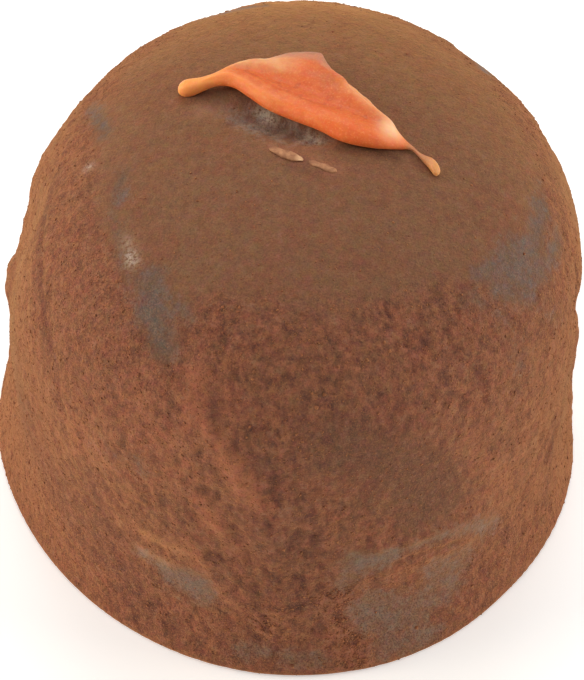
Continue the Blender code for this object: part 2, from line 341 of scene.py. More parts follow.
FOLDS = (
    Fold(((-107, 16.8), (-103, 15.8), (-100, 14.5), (-95, 12.0)), 0.36, 0.18),
    Fold(((-95, 11.8), (-92, 8.0), (-90, 4.6)), 0.32, 0.12),
    Fold(((-104, 17.2), (-104, 16.6)), 0.30, -0.16),
    Fold(((-98, 15.0), (-94, 13.4)), 0.38, -0.16),
    Fold(((-103, 12.2), (-98, 9.4), (-95, 6.4)), 0.40, -0.17),
    Fold(((-107, 12.2), (-101, 9.6), (-96, 8.0)), 0.34, 0.13),
    Fold(((-113, 11.0), (-104, 6.8), (-98, 3.6)), 0.42, 0.12),
    Fold(((-119, 7.5), (-111, 7.6)), 0.13, 0.13),
    Fold(((-76, 8.1), (-66, 7.8), (-50, 7.2)), 0.24, 0.12),
    Fold(((-77, 6.4), (-66, 6.6), (-52, 6.1)), 0.20, -0.12),
    Fold(((-80, 17.4), (-66, 17.2), (-50, 15.8)), 0.50, 0.10),
    Fold(((-86, 5.6), (-80, 2.0)), 0.45, 0.14),
    Fold(((-92, 8.8), (-85, 8.4)), 0.26, -0.13),
    Fold(((-96, 5.9), (-92, 5.9)), 0.24, -0.14),
    Fold(((-174, 18.1), (-161, 17.5), (-151, 16.6), (-142, 15.1)), 0.20, -0.13),
    Fold(((-164, 17.2), (-154, 15.8), (-147, 12.8)), 0.30, 0.08),
    Fold(((-158, 18.6), (-140, 15.0), (-134, 9.0)), 0.22, -0.09),
    Fold(((-6, 17.0), (-12, 14.0), (-13, 12.0)), 0.18, -0.13),
    Fold(((-14, 11.0), (-24, 7.0), (-34, 4.6)), 0.30, -0.16),
    Fold(((-9, 13.2), (-24, 6.0)), 0.45, 0.12),
    Fold(((-22, 9.8), (-40, 4.4)), 0.24, -0.11),
    Fold(((31, 16.5), (40, 13.0), (47, 9.0)), 0.40, 0.15),
    Fold(((62, 14.5), (70, 5.5)), 0.40, -0.15),
    Fold(((100, 13.0), (112, 7.0)), 0.35, 0.14),
    Fold(((128, 16.5), (141, 7.0)), 0.45, 0.15),
    Fold(((152, 6.5), (172, 5.4)), 0.30, -0.13),
)

# Broad unevenness of the coating: dents and swellings round the shoulder.
FORMS = (
    Fold(((-178, 16.8), (172, 14.8), (165, 13.0)), 1.00, -0.27),
    Fold(((-174, 15.6), (176, 13.6), (169, 11.9)), 0.80, -0.24),
    Fold(((180, 12.4), (-178, 11.4)), 0.70, 0.28),
    Fold(((104, 18.6), (119, 18.2), (135, 17.4), (150, 16.5)), 1.00, -0.15),
    Fold(((20, 16.6), (33, 17.6)), 0.90, -0.16),
    Fold(((-13, 13.2), (-6, 11.4), (0, 9.8)), 0.70, -0.27),
    Fold(((-9, 8.9), (-10, 8.2)), 0.60, 0.27),
    Fold(((-8, 5.0), (-4, 2.8)), 0.90, 0.12),
)

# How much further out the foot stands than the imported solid's, by direction.
FOOT_DEGREES = (-155, -135, -115, -95, -72, -58, -44, 152, 164, 172, 180)
FOOT_SPREAD = (0.00, 0.00, 0.05, 0.18, 0.26, 0.18, 0.00, 0.00, -0.14, -0.12, 0.00)

# How caked and pitted the wall is, by direction.
CAKED_DEGREES = (-180, -140, -112, -98, -62, -42, -20, 180)
CAKED_SHARE = (0.25, 0.45, 0.80, 1.00, 1.00, 0.60, 0.30, 0.35)

CRUST_EDGE_DEGREES = (-180, -166, -135, -120, -109, -79, -48, -25, 0, 40, 90, 130, 158, 180)
CRUST_EDGE_HEIGHTS = (20.4, 20.5, 20.0, 19.7, 20.4, 20.6, 19.9, 18.9, 19.2, 20.0, 19.4, 20.1, 19.9, 20.4)


def patchwork(beside, patches, ragged):
    """How far inside the patches each place is: 0 away from them, a faint halo round them and 1 well inside."""
    inside = 0.0
    for patch in patches:
        distance, share = beside(patch.line)
        width = patch.start_width + (patch.end_width - patch.start_width) * share
        beyond = distance - width * (1.0 + 0.8 * ragged)
        soft = 0.42 + 0.7 * width
        halo = smoothstep(1.2, -0.5, beyond / soft)
        core = smoothstep(0.7, -0.9, beyond / soft)
        inside = np.maximum(inside, patch.strength * (0.35 * halo + 0.65 * core))
    return inside


def fold_relief(places):
    """The rise of all the named folds together."""
    wander = 0.7 * fractal(places.xyz, 1.6, seed=21, octaves=3)
    break_up = 0.65 + 0.7 * fractal(places.xyz, 0.9, seed=22, octaves=3)
    rise = np.zeros(len(places.xyz))
    for fold in FOLDS:
        distance, share = places.beside(fold.line)
        taper = smoothstep(0.0, 0.2, share) * smoothstep(1.0, 0.8, share)
        rise += fold.rise * taper * np.exp(-((distance / fold.width + wander) ** 2))
    return rise * break_up


def form_relief(places):
    """The rise of the broad forms together."""
    rise = np.zeros(len(places.xyz))
    for form in FORMS:
        distance = places.beside(form.line)[0]
        rise += form.rise * np.exp(-((distance / form.width) ** 2))
    return rise


def foot_spread(places):
    """How far each place is pushed straight away from the axis, as a vector."""
    radius = np.linalg.norm(places.xyz[:, :2], axis=1)
    spread = np.interp(places.degrees, FOOT_DEGREES, FOOT_SPREAD, left=0.0, right=0.0)
    spread *= smoothstep(3.5, 0.3, places.height) * smoothstep(11.0, 13.6, radius)
    outward = places.xyz * (1.0, 1.0, 0.0) / np.maximum(radius, 0.1)[:, None]
    return spread[:, None] * outward


def drag_marks(places):
    """Fine lines pulled down the wall, and fanned towards the foot on the side facing -Y."""
    arc = np.radians(places.degrees) * 14.0
    fanned = smoothstep(-160, -135, places.degrees) * smoothstep(-84, -100, places.degrees)
    fanned *= smoothstep(14.5, 11.0, places.height)
    slope = 0.8 * fanned * (places.height - 11.0)
    across = np.stack([(arc + slope) / 0.26, places.height / 2.2, np.full_like(arc, 3.7)], axis=1)
    return fractal(across, 1.0, seed=31, octaves=3, gain=0.6)


# On the crown the places are (x, y) in millimetres from the truffle's middle.

SCARS = (
    Patch(((-3.0, 1.9), (-1.7, 1.0)), 0.35, 0.75, 0.50),
    Patch(((-1.7, 1.05), (0.0, 0.25)), 0.75, 0.85, 1.00),
    Patch(((0.0, 0.2), (1.8, -0.45)), 0.90, 0.30, 1.00),
)
GLINTS = (
    Patch(((-0.95, 1.6), (-0.65, 1.35)), 0.16, 0.18, 1.00),
    Patch(((1.0, -0.25), (1.7, -0.55)), 0.12, 0.10, 0.60),
    Patch(((-1.9, 0.7), (-1.2, 0.4)), 0.16, 0.12, 0.35),
)
SIDE_GLINTS = (
    Patch(((-138, 20.2), (-136, 20.1)), 0.05, 0.09, 0.90),
    Patch(((-142, 20.3), (-139, 20.2)), 0.10, 0.10, 0.35),
    Patch(((-177, 19.9), (-177, 19.8)), 0.02, 0.02, 0.90),
)
SIDE_STREAKS = (
    Patch(((-119, 7.8), (-115, 7.7), (-110, 7.5)), 0.12, 0.17, 1.00),
    Patch(((-119, 6.4), (-113, 6.1)), 0.16, 0.18, 0.60),
)
SHADES = (
    Patch(((-2.0, 2.20), (-1.2, 1.50)), 0.14, 0.16, 0.35),
    Patch(((-0.1, 0.6), (0.9, 0.1)), 0.12, 0.14, 0.45),
    Patch(((3.0, -0.62), (4.2, -1.14), (5.2, -1.62)), 0.30, 0.10, 0.85),
    Patch(((0.3, -2.2), (1.4, -2.45)), 0.16, 0.18, 0.30),
)
# Places on the crown painted lighter: painted light where the curl's shadow falls.
PAINTED_LIGHT_PATCHES = (
    Patch(((-3.6, 1.7), (-2.2, 1.7), (-1.5, 1.1)), 0.50, 0.50, 0.80),
    Patch(((0.5, -0.2), (1.9, -0.3)), 0.10, 0.08, 0.70),
)
DUSKY_PLACES = (
    Patch(((-152, 7.5), (-132, 5.0)), 2.20, 2.00, 0.60),
    Patch(((-130, 9.6), (-127, 4.5), (-121, 4.0), (-119, 2.4)), 0.90, 1.10, 0.75),
    Patch(((-99, 11.4), (-93, 9.8), (-86, 8.2)), 0.60, 1.00, 0.70),
    Patch(((-96, 14.8), (-92, 13.8)), 0.40, 0.45, 0.80),
    Patch(((-105, 17.2), (-104, 16.8)), 0.16, 0.18, 0.90),
    Patch(((-89, 11.0), (-87, 10.8)), 0.30, 0.30, 0.90),
    Patch(((-96, 9.4), (-93, 8.2)), 0.45, 0.50, 0.80),
    Patch(((-124, 6.8), (-121, 5.4)), 0.50, 0.45, 0.80),
    Patch(((-113, 9.4), (-110, 8.2)), 0.50, 0.50, 0.70),
    Patch(((178, 18.5), (-172, 18.7)), 0.35, 0.35, 0.60),
    Patch(((-87, 4.9), (-83, 4.8)), 0.60, 0.70, 1.00),
    Patch(((-119, 4.7), (-115, 4.2)), 0.60, 0.60, 0.60),
    Patch(((-24, 8.0), (-25, 5.0), (-27, 2.8)), 0.20, 0.40, 0.75),
    Patch(((-43, 4.2), (-40, 3.4)), 0.45, 0.45, 0.80),
    Patch(((-78, 14.6), (-66, 12.4), (-60, 10.2)), 1.90, 2.00, 0.60),
    Patch(((178, 18.4), (-174, 18.1), (-161, 17.5), (-151, 16.6), (-142, 15.1)), 0.22, 0.28, 0.90),
)
SMEARS = (
    Patch(((-0.5, -1.0), (0.9, -1.7), (2.5, -2.5)), 0.34, 0.22, 0.90),
    Patch(((0.6, -0.95), (1.7, -0.95), (2.8, -0.75)), 0.12, 0.09, 1.00),
    Patch(((-0.2, -1.0), (1.2, -1.1)), 0.30, 0.20, 0.60),
)


def make_body(material):
    """The skin with its relief, and the masks that its material reads."""
    mesh = skin_mesh()
    places = Places(mesh)
    xyz = places.xyz
    ragged = 0.6 * fractal(xyz, 0.9, seed=11, octaves=3, gain=0.5)
    bare = patchwork(places.beside, BARE_PLACES, ragged)
    smooth = patchwork(places.beside, SMOOTH_PLACES, ragged)
    cluster = patchwork(places.beside, CLUSTERS, 1.4 * ragged)
    scar = patchwork(places.beside_on_top, SCARS, 0.6 * ragged)
    smear = patchwork(places.beside_on_top, SMEARS, 0.5 * ragged)
    glint = patchwork(places.beside_on_top, GLINTS, 0.5 * ragged)
    glint = np.maximum(glint, patchwork(places.beside, SIDE_GLINTS, 0.5 * ragged))
    streak = patchwork(places.beside, SIDE_STREAKS, 0.6 * ragged)
    shade = patchwork(places.beside_on_top, SHADES, 0.5 * ragged)
    dusky = patchwork(places.beside, DUSKY_PLACES, ragged)
    ridge = patchwork(places.beside, RIDGES, ragged)
    painted_light = patchwork(places.beside_on_top, PAINTED_LIGHT_PATCHES, 0.5 * ragged)
    caked = np.interp(places.degrees, CAKED_DEGREES, CAKED_SHARE)
    edge = np.interp(places.degrees, CRUST_EDGE_DEGREES, CRUST_EDGE_HEIGHTS)
    wander = 0.5 * fractal(xyz, 2.4, seed=51, octaves=4, gain=0.6)
    crust = smoothstep(0.1, -0.9, places.height - edge + wander)
    crust *= (1.0 - 0.8 * smooth) * (1.0 - 0.8 * smoothstep(0.3, 0.7, bare))
    drawn = xyz * (1.0, 1.0, 0.55)
    crumbs = 0.6 - cell_distance(drawn, 0.38, seed=52)
    clumps = 0.6 - cell_distance(drawn, 0.8, seed=55)
    lumps = fractal(xyz, 1.2, seed=58, octaves=4, gain=0.6)
    marks = drag_marks(places)
    spread = 0.5 * fractal(xyz, 2.6, seed=62, octaves=2)
    pits = smoothstep(0.18, 0.50, fractal(drawn, 0.42, seed=61, octaves=3) + spread)
    pits *= crust * (1.0 - 0.7 * smooth) * (1.0 - 0.9 * ridge) * caked
    folds = fold_relief(places)
    slow = fractal(xyz, 4.5, seed=64, octaves=2)
    grit = fractal(xyz, 0.45, seed=67, octaves=3, gain=0.6)
    rough = 0.08 * crumbs + 0.05 * clumps + 0.05 * lumps + 0.045 * marks * places.upright
    rise = (crust + 1.2 * cluster) * rough - 0.09 * pits
    rise += 0.08 * slow + folds * (1.0 - 0.5 * bare) - 0.05 * smoothstep(0.3, 0.9, bare)
    rise += scar * (0.12 * grit - 0.10) + 0.012 * grit + 0.05 * smear
    rise += form_relief(places)
    moved = xyz + places.normals * (rise * places.off_foot)[:, None] + foot_spread(places)
    moved[:, 2] = np.maximum(moved[:, 2], 0.0)
    put_points(mesh, moved)
    paint(mesh, "bare", bare)
    paint(mesh, "scar", scar)
    paint(mesh, "smear", smear)
    paint(mesh, "glint", glint)
    paint(mesh, "streak", streak)
    paint(mesh, "shade", shade)
    paint(mesh, "smooth", smooth)
    paint(mesh, "dusky", dusky)
    paint(mesh, "ridge", ridge)
    paint(mesh, "painted_light", painted_light)
    paint(mesh, "low", bare * smoothstep(9.5, 7.0, places.height))
    paint(mesh, "caked", caked * crust)
    paint(mesh, "far_crown", smoothstep(0.5, 10.0, xyz[:, 1] + 0.35 * xyz[:, 0]) * (1.0 - crust))
    paint(mesh, "low_wall", smoothstep(10.0, 3.0, places.height) * (1.0 - 0.5 * caked))
    gritty = (0.55 + 0.45 * crust) * np.interp(caked * crust, (0.3, 1.0), (1.0, 0.6))
    paint(mesh, "gritty", gritty + 0.45 * smoothstep(9.0, 4.0, places.height))
    paint(mesh, "crust", crust)
    # The pits are sunk into the skin and also painted darker: painted shade.
    paint(mesh, "pit", pits)
    paint(mesh, "cluster", cluster)
    paint(mesh, "marks", np.clip(0.5 + 0.8 * marks * places.upright, 0.0, 1.0))
    # Darker in the crust's hollows and paler on its raised places: partly the powder's own colour, partly painted
    # shade in the hollows and painted light on the raised places.
    paint(mesh, "relief", np.clip(0.5 + 3.5 * crust * rough + 1.6 * folds, 0.0, 1.0))
    body = bpy.data.objects.new("cocoa_body", mesh)
    bpy.context.scene.collection.objects.link(body)
    mesh.materials.append(material)
    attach(body, "root")
    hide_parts("truffle")
    return body


# Loose cocoa

GRAIN_SPREAD = 0.3         # how much the grains' sizes vary, as a share
FINE_GRAINS = 24500
FINE_RADIUS = 0.036
CRUMBS = 3600
CRUMB_RADIUS = 0.062
OCTAHEDRON = np.array([(1, 0, 0), (-1, 0, 0), (0, 1, 0), (0, -1, 0), (0, 0, 1), (0, 0, -1)], float)
OCTAHEDRON_FACES = np.array([
    (0, 2, 4), (2, 1, 4), (1, 3, 4), (3, 0, 4), (2, 0, 5), (1, 2, 5), (3, 1, 5), (0, 3, 5)
])


def read_attribute(mesh, name):
    values = np.zeros(len(mesh.vertices), np.float32)
    mesh.attributes[name].data.foreach_get("value", values)
    return values


def make_grains(name, body, count, radius, liking, seed, material):
    """Grains of cocoa stuck on the body where the liking is high, as one joined mesh."""
    rng = np.random.default_rng(seed)
    mesh = body.data
    mesh.calc_loop_triangles()
    corners = np.zeros(3 * len(mesh.loop_triangles), np.int32)
    mesh.loop_triangles.foreach_get("vertices", corners)
    corners = corners.reshape(-1, 3)
    xyz = points_of(mesh)
    a, b, c = (xyz[corners[:, k]] for k in range(3))
    normal = np.cross(b - a, c - a)
    area = np.linalg.norm(normal, axis=1)
    wanted = area * liking[corners[:, 0]] * smoothstep(0.05, 0.4, a[:, 2])
    chosen = rng.choice(len(corners), count, p=wanted / wanted.sum())
    mix = rng.dirichlet((1, 1, 1), count)
    seat = mix[:, :1] * a[chosen] + mix[:, 1:2] * b[chosen] + mix[:, 2:] * c[chosen]
    outward = normal[chosen] / area[chosen, None]
    size = radius * np.exp(GRAIN_SPREAD * rng.standard_normal(count))
    shape = OCTAHEDRON[None] * rng.uniform(0.65, 1.3, (count, 6, 1))
    turned = np.einsum("nij,nkj->nki", np.linalg.qr(rng.standard_normal((count, 3, 3)))[0], shape)
    proud = np.einsum("nki,ni->nk", turned, outward)
    turned -= 0.45 * proud[:, :, None] * outward[:, None]
    points = seat[:, None] + turned * size[:, None, None]
    points[:, :, 2] = np.maximum(points[:, :, 2], 0.0)
    faces = OCTAHEDRON_FACES[None] + 6 * np.arange(count)[:, None, None]
    grains = bpy.data.meshes.new(name)
    grains.from_pydata((points.reshape(-1, 3) * MM).tolist(), [], faces.reshape(-1, 3).tolist())
    bm = bmesh.new()
    bm.from_mesh(grains)
    bmesh.ops.recalc_face_normals(bm, faces=bm.faces)
    bm.to_mesh(grains)
    bm.free()
    grains.shade_smooth()
    paint(grains, "tone", np.repeat(rng.uniform(0, 1, count) ** 1.5, 6))
    grains.materials.append(material)
    piece = bpy.data.objects.new(name, grains)
    bpy.context.scene.collection.objects.link(piece)
    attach(piece, "root")
    return piece


def make_loose_cocoa(body, material):
    """A fine dusting over the whole truffle, and coarser crumbs where the cocoa has caked."""
    crust, bare, scar, cluster = (read_attribute(body.data, k) for k in ("crust", "bare", "scar", "cluster"))
    kept = (1.0 - 0.9 * smoothstep(0.3, 0.7, bare)) * (1.0 - 0.8 * scar)
    make_grains("cocoa_dust", body, FINE_GRAINS, FINE_RADIUS, (0.25 + crust) * kept, 7, material)
    make_grains("cocoa_crumbs", body, CRUMBS, CRUMB_RADIUS, (0.04 * crust + cluster) * kept, 8, material)


# The orange

RESTING_GAP = 0.25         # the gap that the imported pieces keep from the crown, closed here
CURL_DEGREES = -21.5
CURL_LEVELS = 3


def bump(value, middle, width):
    """A smooth hill of height 1 round a middle."""
    return np.exp(-(((value - middle) / width) ** 2))


# Lines on the curl, as (share of the way along it, share of the way across from its front edge).
FRONT_RIDGE = ((0.09, 0.34), (0.18, 0.18), (0.28, 0.12), (0.43, 0.10), (0.58, 0.08))
FRONT_CREASE = ((0.20, 0.50), (0.32, 0.36), (0.46, 0.31), (0.58, 0.32))
VALLEY = ((0.16, 0.64), (0.28, 0.56), (0.43, 0.48), (0.58, 0.43), (0.70, 0.52), (0.77, 0.66))
BACK_RIDGE = ((0.53, 0.92), (0.60, 0.74), (0.67, 0.70), (0.74, 0.76), (0.79, 0.84))
BACK_GROOVE = ((0.54, 1.00), (0.60, 0.88), (0.67, 0.84), (0.75, 0.89))

# How far the thin film along the curl's back edge reaches over the crown, by share of the way along the curl.
FILM_SHARES = (0.25, 0.32, 0.39, 0.43, 0.46, 0.49, 0.53, 0.66)
FILM_REACH = (0.05, 0.66, 0.92, 0.98, 0.56, 0.24, 0.10, 0.04)


def seam(share, side, stops, width):
    """A soft line of height 1 along stops on the curl."""
    ends = (stops[0][0], stops[-1][0])
    middle = np.interp(share, [stop[0] for stop in stops], [stop[1] for stop in stops])
    kept = smoothstep(ends[0] - 0.02, ends[0] + 0.03, share) * smoothstep(ends[1] + 0.02, ends[1] - 0.05, share)
    return kept * bump(side, middle, width)


def make_curl(material):
    """The curl, set down on the crown, with its rolled front edge, valley, back fold and thin tail."""
    mesh = subdivided(quads_of("orange_curl", "orange_curl_fine"), CURL_LEVELS)
    mesh.name = "orange_curl_fine"
    mesh.materials.clear()
    xyz = points_of(mesh)
    normals = normals_of(mesh)
    heading = math.radians(CURL_DEGREES)
    along_axis = np.array([math.cos(heading), math.sin(heading), 0.0])
    across_axis = np.array([-math.sin(heading), math.cos(heading), 0.0])
    along = xyz @ along_axis
    share = (along - along.min()) / (along.max() - along.min())
    across = xyz @ across_axis
    slices = np.linspace(0.0, 1.0, 60)
    near = [np.abs(share - middle) < 0.02 for middle in slices]
    front = np.interp(share, slices, [across[part].min() for part in near])
    back = np.interp(share, slices, [across[part].max() for part in near])
    low = np.interp(share, slices, [0.5 * (xyz[part, 2].min() + xyz[part, 2].max()) for part in near])
    side = (across - front) / (back - front)
    top = smoothstep(-0.1, 0.5, normals[:, 2])
    leaf = smoothstep(0.08, 0.18, share) * smoothstep(0.86, 0.78, share)
    stretched = np.stack([along / 2.0, across / 0.34, xyz[:, 2] / 1.5], axis=1)
    wrinkles = fractal(stretched, 1.0, seed=81, octaves=3, gain=0.55)
    lumps = fractal(xyz, 0.8, seed=84, octaves=3)
    ridge = seam(share, side, FRONT_RIDGE, 0.08)
    crease = seam(share, side, FRONT_CREASE, 0.045)
    valley = seam(share, side, VALLEY, 0.16)
    fold = seam(share, side, BACK_RIDGE, 0.10)
    shaded_groove = seam(share, side, BACK_GROOVE, 0.05)
    highlighted_tip = bump(share, 0.79, 0.042) * bump(side, 0.62, 0.34)
    rise = top * (0.04 * wrinkles * leaf + 0.10 * ridge - 0.04 * crease - 0.18 * valley + 0.20 * fold - 0.12 * shaded_groove)
    rise += 0.03 * lumps + 0.07 * bump(share, 0.035, 0.04) - 0.03 * bump(share, 0.115, 0.025) + 0.06 * highlighted_tip * top
    moved = xyz + normals * rise[:, None]
    tail = smoothstep(0.84, 0.88, share)
    thinned = 1.0 - tail * (0.25 - 0.65 * smoothstep(0.885, 0.96, share))
    middle_across = 0.5 * (front + back)
    moved += across_axis * ((across - middle_across) * (thinned - 1.0))[:, None]
    moved[:, 2] += (xyz[:, 2] - low) * (thinned - 1.0)
    film = seam(share, side, ((0.25, 1.0), (0.66, 1.0)), 0.10)
    film_reach = np.interp(share, FILM_SHARES, FILM_REACH)
    moved += across_axis * (film_reach * film)[:, None]
    hanging = (bump(share, 0.36, 0.13) + 1.05 * bump(share, 0.66, 0.10)) * smoothstep(0.6, 0.0, side)
    moved -= across_axis * (0.20 * hanging + 0.13 * bump(share, 0.925, 0.035))[:, None]
    moved[:, 2] -= 0.14 * film + RESTING_GAP + 0.03
    put_points(mesh, moved)
    mesh.shade_smooth()
    paint(mesh, "valley", (valley + 0.6 * crease) * top)
    lit = smoothstep(0.1, 0.7, normals[:, 2])
    # Painted highlight: the front ridge and the neck painted paler where they face up.
    crest_highlight = ridge * (1.0 - 0.7 * smoothstep(0.28, 0.42, share)) + 0.8 * bump(share, 0.13, 0.05)
    paint(mesh, "crest_highlight", np.clip(crest_highlight * lit, 0.0, 1.0))
    # The nub and its neck painted paler orange: partly their own colour, partly painted light on their shaded side.
    paint(mesh, "nub_tint_and_light", smoothstep(0.17, 0.09, share))
    back_pale = smoothstep(0.56, 0.80, side) * smoothstep(0.12, 0.18, share) * smoothstep(0.42, 0.30, share)
    side_pale = smoothstep(0.56, 0.82, side) * smoothstep(0.54, 0.61, share)
    paint(mesh, "rim", np.maximum(back_pale, 0.75 * side_pale) * leaf)
    # Painted light: the front face of the curl's right half painted brighter where it lies in shade.
    paint(mesh, "lit_face", smoothstep(0.45, 0.15, side) * smoothstep(0.40, 0.66, share) * smoothstep(0.86, 0.80, share))
    reach = smoothstep(0.1, 0.5, film_reach)
    paint(mesh, "film", smoothstep(0.3, 0.6, film) * reach)
    paint(mesh, "film_edge", smoothstep(0.6, 1.0, film) * reach)
    paint(mesh, "hump", bump(share, 0.52, 0.08) * bump(side, 0.76, 0.18))
    # Painted shade: the groove behind the back fold is painted darker.
    paint(mesh, "shaded_groove", shaded_groove * top)
    # Painted highlight: a pale pink spot near the curl's end.
    paint(mesh, "highlighted_tip", highlighted_tip)
    paint(mesh, "tail", tail)
    paint(mesh, "club", tail * smoothstep(0.92, 0.98, share))
    curl = bpy.data.objects.new("orange_curl_fine", mesh)
    bpy.context.scene.collection.objects.link(curl)
    mesh.materials.append(material)
    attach(curl, "root")
    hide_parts("orange_curl")
    return curl


def make_sliver(number, material):
    """A shaving of orange, set down on the crown, uneven and thinning towards its ends."""
    node = f"orange_sliver_{number}"
    mesh = subdivided(quads_of(node, node + "_fine"), 1)
    mesh.name = node + "_fine"
    mesh.materials.clear()
    xyz = points_of(mesh)
    normals = normals_of(mesh)
    along = xyz[:, 0]
    share = (along - along.min()) / (along.max() - along.min())
    middle = np.polyval(np.polyfit(along, xyz[:, 1], 1), along)
    aside = np.abs(xyz[:, 1] - middle)
    rise = 0.07 * fractal(xyz, 0.4, seed=90 + number, octaves=3)
    moved = xyz + normals * rise[:, None]
    moved[:, 1] += 0.60 * (xyz[:, 1] - middle)
    moved[:, 1] += 0.12 * (number == 2)
    moved[:, 2] -= RESTING_GAP + 0.05
    put_points(mesh, moved)
    paint(mesh, "edge", np.maximum(smoothstep(0.5, 1.0, aside / aside.max()), smoothstep(0.1, 0.0, share)))
    # The end mask is a painted highlight on the first sliver's rounded end.
    paint(mesh, "end", smoothstep(0.74, 0.86, share) * smoothstep(1.0, 0.95, share) * (number == 1))
    mesh.shade_smooth()
    sliver = bpy.data.objects.new(node + "_fine", mesh)
    bpy.context.scene.collection.objects.link(sliver)
    mesh.materials.append(material)
    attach(sliver, "root")
    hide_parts(node)
    return sliver


# Materials


class Shading:
    """A material's node tree, with short calls for the nodes used here."""

    def __init__(self, name):
        self.material = bpy.data.materials.new(name)
        self.material.use_nodes = True
        self.tree = self.material.node_tree
        self.shader = self.tree.nodes["Principled BSDF"]
        self.place = self.tree.nodes.new("ShaderNodeTexCoord").outputs["Object"]

    def set(self, socket, value):
        """Feeds a shader socket from a node's output, or sets it to a plain value."""
        self.feed(self.shader.inputs[socket], value)

    def feed(self, socket, value):
        if isinstance(value, bpy.types.NodeSocket):
            self.tree.links.new(value, socket)
        else:
            socket.default_value = value

    def mask(self, name):
        node = self.tree.nodes.new("ShaderNodeAttribute")
        node.attribute_name = name
        return node.outputs["Fac"]

    def noise(self, size, detail=3.0, roughness=0.55, stretch=(1, 1, 1), output="Fac"):
        """Noise from 0 to 1 with lumps of a size in millimetres."""
        mapping = self.tree.nodes.new("ShaderNodeMapping")
        self.tree.links.new(self.place, mapping.inputs["Vector"])
        mapping.inputs["Scale"].default_value = [1.0 / (size * MM * part) for part in stretch]
        node = self.tree.nodes.new("ShaderNodeTexNoise")
        self.tree.links.new(mapping.outputs["Vector"], node.inputs["Vector"])
        node.inputs["Scale"].default_value = 1.0
        node.inputs["Detail"].default_value = detail
        node.inputs["Roughness"].default_value = roughness
        return node.outputs[output]

    def ramp(self, value, low, high, to_low=0.0, to_high=1.0):
        """A value eased from one range into another."""
        node = self.tree.nodes.new("ShaderNodeMapRange")
        node.interpolation_type = "SMOOTHSTEP"
        for name, number in zip(("From Min", "From Max", "To Min", "To Max"), (low, high, to_low, to_high)):
            node.inputs[name].default_value = number
        self.tree.links.new(value, node.inputs["Value"])
        return node.outputs["Result"]

    def times(self, first, second, operation="MULTIPLY"):
        node = self.tree.nodes.new("ShaderNodeMath")
        node.operation = operation
        self.feed(node.inputs[0], first)
        self.feed(node.inputs[1], second)
        return node.outputs["Value"]

    def broken(self, inside, mottle, fine):
        """A mask with its edge broken up into specks."""
        shaken = self.times(inside, self.ramp(mottle, 0.3, 0.7, -0.24, 0.24), "ADD")
        shaken = self.times(shaken, self.ramp(fine, 0.3, 0.7, -0.14, 0.14), "ADD")
        return self.ramp(shaken, 0.08, 1.12)

    def dapple(self, color, size, amount, detail=3.0):
        """Shifts a colour's channels apart a little, in spots of a size in millimetres."""
        spots = self.noise(size, detail=detail, roughness=0.6, output="Color")
        return self.mix(amount, color, spots, blend="SOFT_LIGHT")

    def mix(self, share, first, second, blend="MIX"):
        node = self.tree.nodes.new("ShaderNodeMix")
        node.data_type = "RGBA"
        node.blend_type = blend
        self.feed(node.inputs[0], share)
        self.feed(node.inputs[6], first)
        self.feed(node.inputs[7], second)
        return node.outputs[2]

    def bump(self, height, depth, under=None):
        """A bump of a depth in millimetres, on top of another where one is given."""
        node = self.tree.nodes.new("ShaderNodeBump")
        node.inputs["Distance"].default_value = depth * MM
        self.tree.links.new(height, node.inputs["Height"])
        if under is not None:
            self.tree.links.new(under, node.inputs["Normal"])
        return node.outputs["Normal"]


def tone(red, green, blue):
    """A colour given as it looks on screen, from 0 to 255, as the shader takes it."""
    linear = [(c / 255.0 / 12.92) if c <= 10 else ((c / 255.0 + 0.055) / 1.055) ** 2.4 for c in (red, green, blue)]
    return (*linear, 1.0)


CROWN_COCOA = tone(128, 91, 68)
WALL_COCOA = tone(130, 85, 64)
PALE_COCOA = tone(160, 108, 78)
RED_COCOA = tone(134, 77, 59)
RIDGE_COCOA = tone(173, 107, 78)
LOW_COCOA = tone(132, 71, 50)
LIT_CROWN = tone(143, 101, 70)
PAINTED_LIGHT_COCOA = tone(170, 124, 98)
DARK_COCOA = tone(94, 61, 52)
PIT_COCOA = tone(74, 50, 48)
SMOOTH_COCOA = tone(102, 74, 58)
OCHRE_COCOA = tone(168, 107, 80)
BARE_CHOCOLATE = tone(66, 65, 62)
BLOOM_CHOCOLATE = tone(89, 86, 82)
LOW_BLOOM = tone(114, 101, 86)
SCAR_CHOCOLATE = tone(112, 87, 80)
SCAR_BLOOM = tone(138, 121, 108)
SHADED_CHOCOLATE = tone(40, 28, 26)
SMEARED_ORANGE = tone(158, 104, 80)
PALE_STREAK = tone(196, 134, 92)
GLINT = tone(206, 192, 172)
DUST_SHEEN = (1.0, 0.47, 0.14, 1.0)


